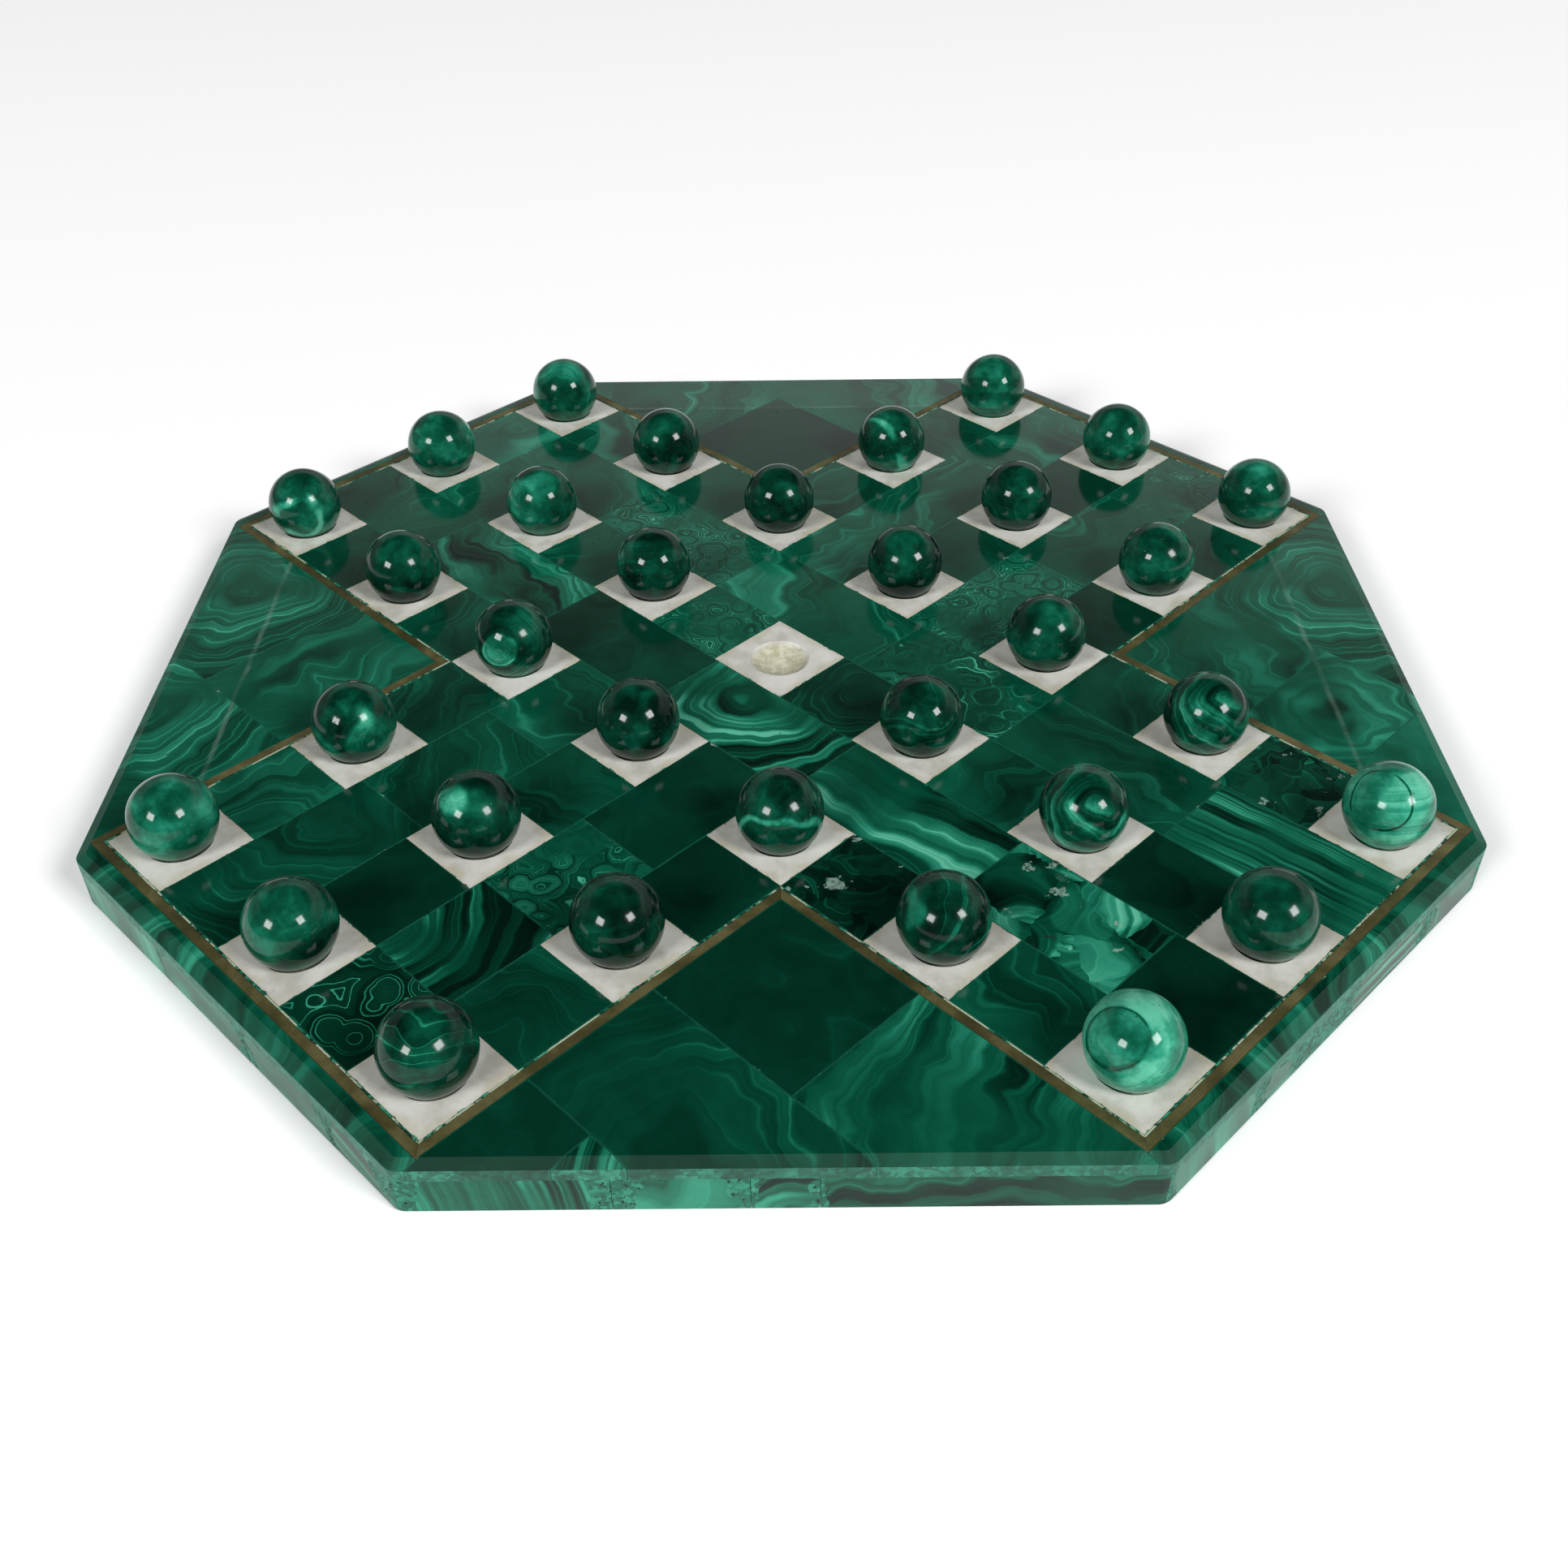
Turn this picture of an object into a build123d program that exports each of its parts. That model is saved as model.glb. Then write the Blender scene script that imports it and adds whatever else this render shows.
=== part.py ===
from build123d import *
import os
from math import cos, radians, sin, sqrt

# A 33-place marble solitaire board: an octagonal stone slab veneered with malachite, with an English
# cross of square marble sockets, brass stringing and 32 loose malachite marbles.
# Origin: centre of the underside. +X points to the east arm, +Y to the north arm, +Z up. Millimetres.

os.makedirs("parts", exist_ok=True)

# Chequered cross
cell = 21.5  # side of one square, stone or socket
pitch = 2 * cell  # from one socket to the next
seam = 0.1  # hairline joint between fitted stones
socket_side = 21.1
stone_side = pitch - socket_side - 2 * seam

# Board
thickness = 13.0
veneer = 4.0
arm_apothem = 146.5  # centre to the four sides that the arms point at
corner_apothem = 142.0  # centre to the four sides between the arms
corner_radius = 3.5
bevel_drop = 1.2
bevel_width = 2.7
foot_bevel = 0.8
facing_thick = 3.0
crease_apothem = 122.5  # past this the four corners are ground slightly lower than the cross
crease_slope = 0.8  # degrees

# Inlaid lines round the cross
filler_width = 0.35
brass_width = 2.0

# Sockets and marbles
dimple_radius = 9.6
dimple_rim = 6.8
marble_radius = 9.0
marble_gap = 0.12  # clearance under a seated marble

veneer_base = thickness - veneer
overcut = 0.5  # stones start this much proud, and are ground down to the envelope

# The cross reaches to the outer edges of its outermost sockets.
cross_half = pitch + socket_side / 2
cross_reach = 3 * pitch + socket_side / 2
filler_inner = seam
filler_outer = filler_inner + filler_width
brass_inner = filler_outer + seam
brass_outer = brass_inner + brass_width
panel_start = cross_half + brass_outer + seam
strip_start = cross_reach + brass_outer + seam


def octagon(inset=0.0):
    """Corners of the board's outline, or of one this far inside it, anticlockwise from the south-east."""
    arm = arm_apothem - inset
    reach = (corner_apothem - inset) * sqrt(2) - arm
    return [
        (arm, -reach), (arm, reach), (reach, arm), (-reach, arm),
        (-arm, reach), (-arm, -reach), (-reach, -arm), (reach, -arm),
    ]


def cross(grow):
    """Corners of the cross's outline grown by this much, anticlockwise from the east arm's south corner."""
    half = cross_half + grow
    reach = cross_reach + grow
    return [
        (reach, -half), (reach, half), (half, half), (half, reach), (-half, reach), (-half, half),
        (-reach, half), (-reach, -half), (-half, -half), (-half, -reach), (half, -reach), (half, -half),
    ]


def slab(points, height):
    """An upright prism that stands on the ground."""
    with BuildSketch() as profile:
        with BuildLine():
            Polyline(*points, close=True)
        make_face()
    extrude(profile.sketch, amount=height)


def rectangles(boxes):
    """Veneer stones, each given by its west, east, south and north edges, with half a seam off each."""
    with BuildSketch(Plane.XY.offset(veneer_base)) as profile:
        for west, east, south, north in boxes:
            with Locations(((west + east) / 2, (south + north) / 2)):
                Rectangle(east - west - seam, north - south - seam)
    extrude(profile.sketch, amount=veneer + overcut)
    add(envelope.part, mode=Mode.INTERSECT)


def ring_strips(inner, outer):
    """The twelve mitred strips of an inlaid line round the cross, each half a seam short at its ends."""
    inside = [Vector(*point) for point in cross(inner)]
    outside = [Vector(*point) for point in cross(outer)]
    for k in range(len(inside)):
        nxt = (k + 1) % len(inside)
        short = (inside[nxt] - inside[k]).normalized() * (seam / 2)
        corners = [inside[k] + short, inside[nxt] - short, outside[nxt] - short, outside[k] + short]
        with BuildSketch(Plane.XY.offset(veneer_base)) as profile:
            with BuildLine():
                Polyline(*[(c.X, c.Y) for c in corners], close=True)
            make_face()
        extrude(profile.sketch, amount=veneer + overcut)
    add(envelope.part, mode=Mode.INTERSECT)


def save(name, part):
    part.label = name
    export_step(part, f"parts/{name}.step")


# The ground and polished outside of the whole board.
with BuildPart() as envelope:
    with BuildSketch():
        with BuildLine():
            Polyline(*octagon(), close=True)
        outline = make_face()
        fillet(outline.vertices(), corner_radius)
    extrude(amount=thickness)
    top = envelope.faces().sort_by(Axis.Z)[-1]
    chamfer(top.edges(), bevel_width, bevel_drop, reference=top)
    foot = envelope.faces().sort_by(Axis.Z)[0]
    chamfer(foot.edges(), foot_bevel)
    for angle in (45, 135, 225, 315):
        across = Vector(cos(radians(angle)), sin(radians(angle)), 0)
        tilt = radians(crease_slope)
        normal = across * sin(tilt) + Vector(0, 0, cos(tilt))
        crease = Plane(across * crease_apothem + Vector(0, 0, thickness), z_dir=normal)
        split(bisect_by=crease, keep=Keep.BOTTOM)

with BuildPart() as core_slab:
    slab(octagon(facing_thick), veneer_base)
save("core_slab", core_slab.part)

# Facings on the eight sides. Each is a row of stones, cut at these shares of the side's length.
sides = {
    "east": (0.24, 0.52, 0.79),
    "northeast": (0.21, 0.47, 0.75),
    "north": (0.33, 0.68),
    "northwest": (0.26, 0.5, 0.77),
    "west": (0.3, 0.66),
    "southwest": (0.18, 0.44, 0.72),
    "south": (0.29, 0.57, 0.82),
    "southeast": (0.28, 0.46, 0.55),
}
outer_corners = octagon()
inner_corners = octagon(facing_thick)
for k, (side, cuts) in enumerate(sides.items()):
    nxt = (k + 1) % 8
    start = Vector(*outer_corners[k])
    end = Vector(*outer_corners[nxt])
    along = (end - start).normalized()
    length = (end - start).length
    inward = Vector(-along.Y, along.X)
    marks = [0.0] + [share * length for share in cuts] + [length]
    with BuildPart() as facing:
        for first, last in zip(marks, marks[1:]):
            near = start + along * (first + seam / 2)
            far = start + along * (last - seam / 2)
            corners = [near, far, far + inward * facing_thick, near + inward * facing_thick]
            if first == 0.0:
                corners[0] = start
                corners[3] = Vector(*inner_corners[k])
            if last == length:
                corners[1] = end
                corners[2] = Vector(*inner_corners[nxt])
            slab([(c.X, c.Y) for c in corners], veneer_base)
        add(envelope.part, mode=Mode.INTERSECT)
    save(f"edge_facing_{side}", facing.part)

# White sockets. Columns count from the west and rows from the south, both from -3 to 3.
places = [(i, j) for i in range(-3, 4) for j in range(-3, 4) if abs(i) < 2 or abs(j) < 2]
regions = {
    "centre": lambda x, y: max(abs(x), abs(y)) < cross_half,
    "east": lambda x, y: x > cross_half,
    "north": lambda x, y: y > cross_half,
    "west": lambda x, y: x < -cross_half,
    "south": lambda x, y: y < -cross_half,
}
dimple_centre = thickness + sqrt(dimple_radius**2 - dimple_rim**2)
for region, inside in regions.items():
    spots = [(i * pitch, j * pitch) for i, j in places if inside(i * pitch, j * pitch)]
    with BuildPart() as tiles:
        with BuildSketch(Plane.XY.offset(veneer_base)):
            with Locations(*spots):
                Rectangle(socket_side, socket_side)
        extrude(amount=veneer + overcut)
        with Locations(*[(x, y, dimple_centre) for x, y in spots]):
            Sphere(dimple_radius, mode=Mode.SUBTRACT)
        add(envelope.part, mode=Mode.INTERSECT)
    save(f"socket_tiles_{region}", tiles.part)

# Malachite between the sockets. Strips run the length of the arms and are pieced at these cells.
row_joints = {-1: (-4.6, -2.4, -0.44, 1.6, 3.7, 5.42), 1: (-5.5, -3.6, -1.5, 0.7, 2.54, 4.59)}
south_joints = {-1: (-2.76, -4.3), 1: (-3.16, -4.34, -5.5)}
north_joints = {-1: (2.9, 4.7), 1: (3.4, 5.2)}
strip_low = (socket_side / 2 + seam / 2, pitch - socket_side / 2 - seam / 2)
stones = []
for sign, joints in row_joints.items():
    south, north = sorted(sign * edge for edge in strip_low)
    marks = [-cross_reach - seam / 2] + [mark * cell for mark in joints] + [cross_reach + seam / 2]
    stones += [(west, east, south, north) for west, east in zip(marks, marks[1:])]
for outward, columns in ((-1, south_joints), (1, north_joints)):
    for sign, joints in columns.items():
        west, east = sorted(sign * edge for edge in strip_low)
        root = outward * strip_low[1]
        tip = outward * (cross_reach + seam / 2)
        marks = sorted([root, tip] + [mark * cell for mark in joints])
        stones += [(west, east, south, north) for south, north in zip(marks, marks[1:])]
half_gap = (stone_side + seam) / 2
half_row = (socket_side + seam) / 2
for i in (-1, 0, 1):
    row = i * pitch
    for gap in (-2.5, -1.5, 1.5, 2.5):
        middle = gap * pitch
        stones.append((middle - half_gap, middle + half_gap, row - half_row, row + half_row))
        stones.append((row - half_row, row + half_row, middle - half_gap, middle + half_gap))
for middle in (-pitch / 2, pitch / 2):
    stones.append((middle - half_gap, middle + half_gap, -half_row, half_row))
for region, inside in regions.items():
    boxes = [box for box in stones if inside((box[0] + box[1]) / 2, (box[2] + box[3]) / 2)]
    with BuildPart() as field:
        rectangles(boxes)
    save(f"field_stones_{region}", field.part)

with BuildPart() as filler_lines:
    ring_strips(filler_inner, filler_outer)
save("filler_lines", filler_lines.part)

with BuildPart() as brass_stringing:
    ring_strips(brass_inner, brass_outer)
save("brass_stringing", brass_stringing.part)

# Strips outside the brass at the arms' ends.
with BuildPart() as border_strips:
    strip_width = arm_apothem - strip_start
    strip_length = 2 * (cross_half + brass_outer)
    for angle in (0, 90, 180, 270):
        with BuildSketch(Plane.XY.offset(veneer_base).rotated((0, 0, angle))):
            with Locations((strip_start + strip_width / 2, 0)):
                Rectangle(strip_width, strip_length)
        extrude(amount=veneer + overcut)
    add(envelope.part, mode=Mode.INTERSECT)
save("border_strips", border_strips.part)

# Corner panels. Each stone is given in cells outward from the cross's inner corner along X, then Y.
panels = {
    "southeast": (1, -1, [(0, 1.66, 0, 1.54), (1.66, 4.2, 0, 1.54), (0, 4.2, 1.54, 2.9),
                          (0, 0.8, 2.9, 4.2), (0.8, 4.2, 2.9, 4.2)]),
    "northeast": (1, 1, [(0, 1.5, 0, 1.55), (1.5, 2.75, 0, 1.55), (2.75, 4.2, 0, 1.55),
                         (0, 4.2, 1.55, 4.2)]),
    "northwest": (-1, 1, [(0, 1.62, 0, 1.6), (1.62, 4.2, 0, 1.6), (0, 4.2, 1.6, 4.2)]),
    "southwest": (-1, -1, [(0, 1.5, 0, 1.9), (1.5, 4.2, 0, 1.9), (0, 4.2, 1.9, 4.2)]),
}
origin = panel_start - seam / 2
for corner, (east_sign, north_sign, pieces) in panels.items():
    boxes = []
    for u_near, u_far, v_near, v_far in pieces:
        west, east = sorted(east_sign * (origin + u * cell) for u in (u_near, u_far))
        south, north = sorted(north_sign * (origin + v * cell) for v in (v_near, v_far))
        boxes.append((west, east, south, north))
    with BuildPart() as panel:
        rectangles(boxes)
    save(f"corner_panel_{corner}", panel.part)

# Marbles. The central place starts empty.
seat_height = dimple_centre - dimple_radius + marble_gap + marble_radius
for i, j in places:
    if (i, j) == (0, 0):
        continue
    with BuildPart(Plane((i * pitch, j * pitch, seat_height))) as marble:
        Sphere(marble_radius)
    save(f"marble_c{i + 4}_r{j + 4}", marble.part)
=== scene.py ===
import random
from math import cos, pi, radians, sin, sqrt

import bmesh
import bpy
from mathutils import Matrix, Vector, noise


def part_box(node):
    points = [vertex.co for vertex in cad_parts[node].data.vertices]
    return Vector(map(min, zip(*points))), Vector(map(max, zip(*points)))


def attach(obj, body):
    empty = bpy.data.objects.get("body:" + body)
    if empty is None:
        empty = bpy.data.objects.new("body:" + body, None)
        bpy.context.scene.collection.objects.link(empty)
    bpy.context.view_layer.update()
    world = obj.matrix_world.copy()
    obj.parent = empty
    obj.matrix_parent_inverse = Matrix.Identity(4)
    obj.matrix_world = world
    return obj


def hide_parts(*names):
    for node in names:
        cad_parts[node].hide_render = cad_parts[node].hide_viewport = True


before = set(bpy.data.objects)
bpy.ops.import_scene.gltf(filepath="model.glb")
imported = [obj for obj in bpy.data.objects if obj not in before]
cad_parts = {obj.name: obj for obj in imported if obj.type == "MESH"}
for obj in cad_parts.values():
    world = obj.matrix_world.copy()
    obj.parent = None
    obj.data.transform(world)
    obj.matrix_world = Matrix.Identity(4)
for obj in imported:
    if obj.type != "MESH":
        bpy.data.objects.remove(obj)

bpy.context.view_layer.update()

MM = 0.001


def middle(node):
    """The centre of a CAD node's box."""
    low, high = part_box(node)
    return (Vector(low) + Vector(high)) / 2


pitch = middle("marble_c2_r4").x - middle("marble_c1_r4").x
cell = pitch / 2  # one square of the chequered cross
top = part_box("field_stones_centre")[1][2]
marble_low, marble_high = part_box("marble_c1_r4")
marble_radius = (marble_high[2] - marble_low[2]) / 2
# How far from the board's centre a corner panel starts to slope down.
crease_apothem = 5.7 * cell


# ---------------------------------------------------------------- camera, lights, floor

# How far the camera looks down, where it looks in plan, and its small roll.
tilt = radians(40.21)
heading = radians(45.25)
roll = radians(-0.72)
forward = Vector((-sin(heading) * cos(tilt), cos(heading) * cos(tilt), -sin(tilt)))
level_right = Vector((cos(heading), sin(heading), 0))
level_up = level_right.cross(forward)
right = level_right * cos(roll) + level_up * sin(roll)
up = level_up * cos(roll) - level_right * sin(roll)
camera_data = bpy.data.cameras.new("camera")
camera_data.lens = 37.91
camera_data.sensor_width = 36.0
camera_data.clip_start = 0.01
viewpoint = Vector((10.244 * cell, -10.115 * cell, top + 10.40 * cell))
camera = bpy.data.objects.new("camera", camera_data)
bpy.context.scene.collection.objects.link(camera)
camera.matrix_world = Matrix((right, up, -forward)).transposed().to_4x4()
camera.location = viewpoint
bpy.context.scene.camera = camera
bpy.context.scene.view_settings.view_transform = "Standard"


def softbox(name, azimuth, elevation, distance, width, height, power):
    """A lamp that faces the board. Angles are in degrees, and azimuth runs from the camera's side to its
    right. Lengths are in metres and power is in watts."""
    turn = heading - pi / 2 + radians(azimuth)
    rise = radians(elevation)
    place = Vector((cos(turn) * cos(rise), sin(turn) * cos(rise), sin(rise))) * distance
    lamp = bpy.data.lights.new(name, "AREA")
    lamp.shape = "RECTANGLE"
    lamp.size = width
    lamp.size_y = height
    lamp.energy = power
    light = bpy.data.objects.new(name, lamp)
    light.location = place
    light.rotation_euler = (-place).to_track_quat("-Z", "Y").to_euler()
    bpy.context.scene.collection.objects.link(light)


softbox("key_left", azimuth=-43, elevation=33, distance=4.0, width=1.25, height=1.05, power=100)
softbox("key_right", azimuth=51, elevation=39, distance=4.0, width=1.20, height=1.20, power=117)


class Tree:
    """Short names for laying out shader nodes. An input is a number, a tuple or another node's socket."""

    def __init__(self, tree):
        self.tree = tree
        tree.nodes.clear()

    def add(self, kind, inputs=(), **settings):
        node = self.tree.nodes.new(kind)
        for key, value in settings.items():
            setattr(node, key, value)
        for key, value in dict(inputs).items():
            self.feed(node.inputs[key], value)
        return node

    def feed(self, socket, value):
        if isinstance(value, bpy.types.NodeSocket):
            self.tree.links.new(value, socket)
        else:
            socket.default_value = value

    def math(self, operation, *values):
        return self.add("ShaderNodeMath", dict(enumerate(values)), operation=operation).outputs[0]

    def vector(self, operation, *values, output=0):
        inputs = dict(enumerate(values))
        if operation == "SCALE":
            inputs = {0: values[0], "Scale": values[1]}
        return self.add("ShaderNodeVectorMath", inputs, operation=operation).outputs[output]

    def noise(self, place, size, detail=2.0, rough=0.5, output="Fac"):
        """Smooth noise with features about this size, in the place's own units."""
        inputs = {"Vector": place, "Scale": 1 / size, "Detail": detail, "Roughness": rough}
        return self.add("ShaderNodeTexNoise", inputs).outputs[output]

    def line_noise(self, along, detail=1.0, rough=0.5):
        """Smooth noise along one line, with features about 1 long."""
        inputs = {"W": along, "Scale": 1.0, "Detail": detail, "Roughness": rough}
        return self.add("ShaderNodeTexNoise", inputs, noise_dimensions="1D").outputs["Fac"]

    def span(self, value, low, high, to_low=0.0, to_high=1.0):
        """A smooth step from to_low, where the value is low, to to_high, where it is high."""
        inputs = {"Value": value, "From Min": low, "From Max": high, "To Min": to_low, "To Max": to_high}
        return self.add("ShaderNodeMapRange", inputs, interpolation_type="SMOOTHSTEP").outputs[0]

    def ramp(self, factor, stops):
        node = self.add("ShaderNodeValToRGB", {"Fac": factor})
        ramp = node.color_ramp
        while len(ramp.elements) < len(stops):
            ramp.elements.new(1.0)
        for element, (position, colour) in zip(ramp.elements, stops):
            element.position = position
            element.color = (*colour, 1.0)
        return node.outputs[0]

    def blend(self, factor, first, second):
        inputs = {0: factor, 6: first, 7: second}
        return self.add("ShaderNodeMix", inputs, data_type="RGBA").outputs[2]

    def parts(self, vector):
        node = self.add("ShaderNodeSeparateXYZ", {0: vector})
        return node.outputs[0], node.outputs[1], node.outputs[2]

    def attribute(self, name, output="Vector"):
        return self.add("ShaderNodeAttribute", attribute_name=name).outputs[output]


def material(name):
    mat = bpy.data.materials.new(name)
    mat.use_nodes = True
    return mat, Tree(mat.node_tree)


def surface(tree, **inputs):
    """The material's output: a Principled shader with these sockets set."""
    words = {key.replace("_", " "): value for key, value in inputs.items()}
    shader = tree.add("ShaderNodeBsdfPrincipled", words)
    output = tree.add("ShaderNodeOutputMaterial")
    tree.tree.links.new(shader.outputs[0], output.inputs[0])


def bump(tree, height, depth):
    """A normal from a height of 0 to 1 over this depth in metres."""
    inputs = {"Height": height, "Strength": 1.0, "Distance": depth}
    return tree.add("ShaderNodeBump", inputs).outputs[0]


# ---------------------------------------------------------------- materials

# Malachite from its darkest to its lightest band.
GREENS = (
    (0.00, (0.0006, 0.0110, 0.0065)),
    (0.22, (0.0012, 0.0360, 0.0195)),
    (0.42, (0.0025, 0.0790, 0.0430)),
    (0.60, (0.0090, 0.1600, 0.0950)),
    (0.80, (0.0330, 0.3100, 0.1950)),
    (1.00, (0.1200, 0.5200, 0.3500)),
)
PIT_DARK = (0.002, 0.016, 0.011, 1)
FACING_PIT_DARK = (0.002, 0.02, 0.013, 1)
SEAM_GREEN = (0.012, 0.135, 0.085, 1)
MASTIC_GREEN = (0.030, 0.20, 0.135, 1)
FACING_MASTIC_GREEN = (0.030, 0.18, 0.120, 1)
FLAKE_CREAM = (0.36, 0.43, 0.33, 1)
FILLER_CREAM = (0.42, 0.50, 0.36, 1)
SCAR_PALE = (0.26, 0.40, 0.33, 1)
# Paler colour for the line where a panel slopes: partly wear, partly a painted highlight.
WEAR_AND_SHEEN_PALE = (0.24, 0.38, 0.31, 1)
FACING_CHIP_PALE = (0.20, 0.45, 0.34, 1)
TILE_STAIN = (0.48, 0.44, 0.28, 1)
DIMPLE_DIRT = (0.36, 0.35, 0.19, 1)
DIMPLE_STONE = (0.60, 0.58, 0.43, 1)

# Sizes in the pattern's own millimetres.
SHARD_SIZE = 7.5
SHARD_BEND = 4.0
SHARD_JUMP = 150.0
WIDE_SWAY = 16.0
SMALL_SWAY = 2.4
NODULE_SPACING = 15.0
GRAIN_SIZE = 0.9

# Shares of the way from the darkest green to the lightest.
HAIRLINE_LIGHT = 0.22
CRACK_DARK = 0.2


def malachite(tree):
    """Banded green stone, laid out in the mesh's own pattern space. Gives its value, from dark to light, the
    place, a slow cloud and the distance from the rings' centre.

    The mesh's layers say how each stone grew. Place is a point in millimetres. Look holds the tone, the
    contrast, the pitch of the bands and how far they wander. Growth holds how far the bands follow rings
    about the place's origin, straight layers along its X, and nodules, and how strong the light hairlines
    are. The third part of half is 1 in shattered stone."""
    place = tree.attribute("place")
    look = tree.attribute("look", "Color")
    tone, contrast, band = tree.parts(look)
    wander = tree.attribute("look", "Alpha")
    rings, layers, nodules = tree.parts(tree.attribute("growth", "Color"))
    hairs = tree.attribute("growth", "Alpha")
    shatter = tree.parts(tree.attribute("half"))[2]
    # In shattered stone, every fragment takes its pattern from a place of its own.
    bent = tree.vector("SUBTRACT", tree.noise(place, 5, 3, 0.6, "Color"), (0.5, 0.5, 0.5))
    shard_place = tree.vector("ADD", place, tree.vector("SCALE", bent, SHARD_BEND))
    shards = tree.add("ShaderNodeTexVoronoi", {"Vector": shard_place, "Scale": 1 / SHARD_SIZE})
    jump = tree.vector("SCALE", shards.outputs["Color"], tree.math("MULTIPLY", shatter, SHARD_JUMP))
    source = tree.vector("ADD", place, jump)
    # The layers sway widely, and a little more closely.
    wide = tree.vector("SUBTRACT", tree.noise(source, 24, 2, 0.5, "Color"), (0.5, 0.5, 0.5))
    small = tree.vector("SUBTRACT", tree.noise(source, 6, 2, 0.5, "Color"), (0.5, 0.5, 0.5))
    flow = tree.vector("ADD", source, tree.vector("SCALE", wide, tree.math("MULTIPLY", wander, WIDE_SWAY)))
    flow = tree.vector("ADD", flow, tree.vector("SCALE", small, tree.math("MULTIPLY", wander, SMALL_SWAY)))
    # How far the stone had grown at this point, in band pitches.
    ring = tree.vector("LENGTH", flow, output=1)
    layer = tree.parts(flow)[0]
    cells = {"Vector": flow, "Scale": 1 / NODULE_SPACING, "Smoothness": 0.12, "Randomness": 1.0}
    knob = tree.add("ShaderNodeTexVoronoi", cells, feature="SMOOTH_F1").outputs["Distance"]
    depth = tree.math("MULTIPLY", ring, rings)
    depth = tree.math("MULTIPLY_ADD", layer, layers, depth)
    depth = tree.math("MULTIPLY_ADD", tree.math("MULTIPLY", knob, NODULE_SPACING), nodules, depth)
    step = tree.math("DIVIDE", depth, band)
    # Bands of three widths and thin hairlines, stronger in some zones than in others.
    broad = tree.span(tree.line_noise(tree.math("MULTIPLY", step, 0.5), 0), 0.3, 0.7)
    medium = tree.span(tree.line_noise(tree.math("MULTIPLY_ADD", step, 1.6, 31.0), 1), 0.3, 0.7)
    fine = tree.line_noise(tree.math("MULTIPLY_ADD", step, 6.0, 77.0), 2, 0.7)
    hair_noise = tree.line_noise(tree.math("MULTIPLY_ADD", step, 1.3, 5.0), 0)
    crossing = tree.math("ABSOLUTE", tree.math("SUBTRACT", hair_noise, 0.5))
    hairline = tree.span(crossing, 0.0, 0.03, 1.0, 0.0)
    zone = tree.span(tree.noise(flow, 26, 1), 0.36, 0.62, 0.2, 1.0)
    cloud = tree.noise(flow, 9, 4, 0.62)
    bands = tree.math("MULTIPLY", tree.math("SUBTRACT", broad, 0.5), 0.75)
    bands = tree.math("MULTIPLY_ADD", tree.math("SUBTRACT", medium, 0.5), 0.55, bands)
    bands = tree.math("MULTIPLY_ADD", tree.math("SUBTRACT", fine, 0.5), 0.5, bands)
    value = tree.math("MULTIPLY_ADD", tree.math("MULTIPLY", bands, zone), contrast, tone)
    light = tree.math("MULTIPLY", tree.math("MULTIPLY", hairline, hairs), zone)
    value = tree.math("MULTIPLY_ADD", light, HAIRLINE_LIGHT, value)
    # Dark cracks between fragments.
    crack = tree.span(shards.outputs["Distance"], 0.62, 0.75)
    value = tree.math("MULTIPLY_ADD", tree.math("MULTIPLY", crack, shatter), -CRACK_DARK, value)
    return tree.math("MULTIPLY_ADD", tree.math("SUBTRACT", cloud, 0.5), 0.2, value), place, cloud, ring


def edge_distance(tree):
    """Millimetres from the sides of a stone's top, for a stone that is a rectangle in plan."""
    x, y, _ = tree.parts(tree.attribute("inset"))
    half_x, half_y, _ = tree.parts(tree.attribute("half"))
    along = tree.math("SUBTRACT", half_x, tree.math("ABSOLUTE", x))
    across = tree.math("SUBTRACT", half_y, tree.math("ABSOLUTE", y))
    return tree.math("MINIMUM", along, across)


def crushed(tree, place):
    """Crushed malachite in mastic: angular grains of mixed tone. Gives a colour and a height."""
    grains = tree.add("ShaderNodeTexVoronoi", {"Vector": place, "Scale": 1 / GRAIN_SIZE})
    shade = tree.parts(grains.outputs["Color"])[0]
    colour = tree.ramp(shade, GREENS[1:5])
    return colour, grains.outputs["Distance"]


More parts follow.
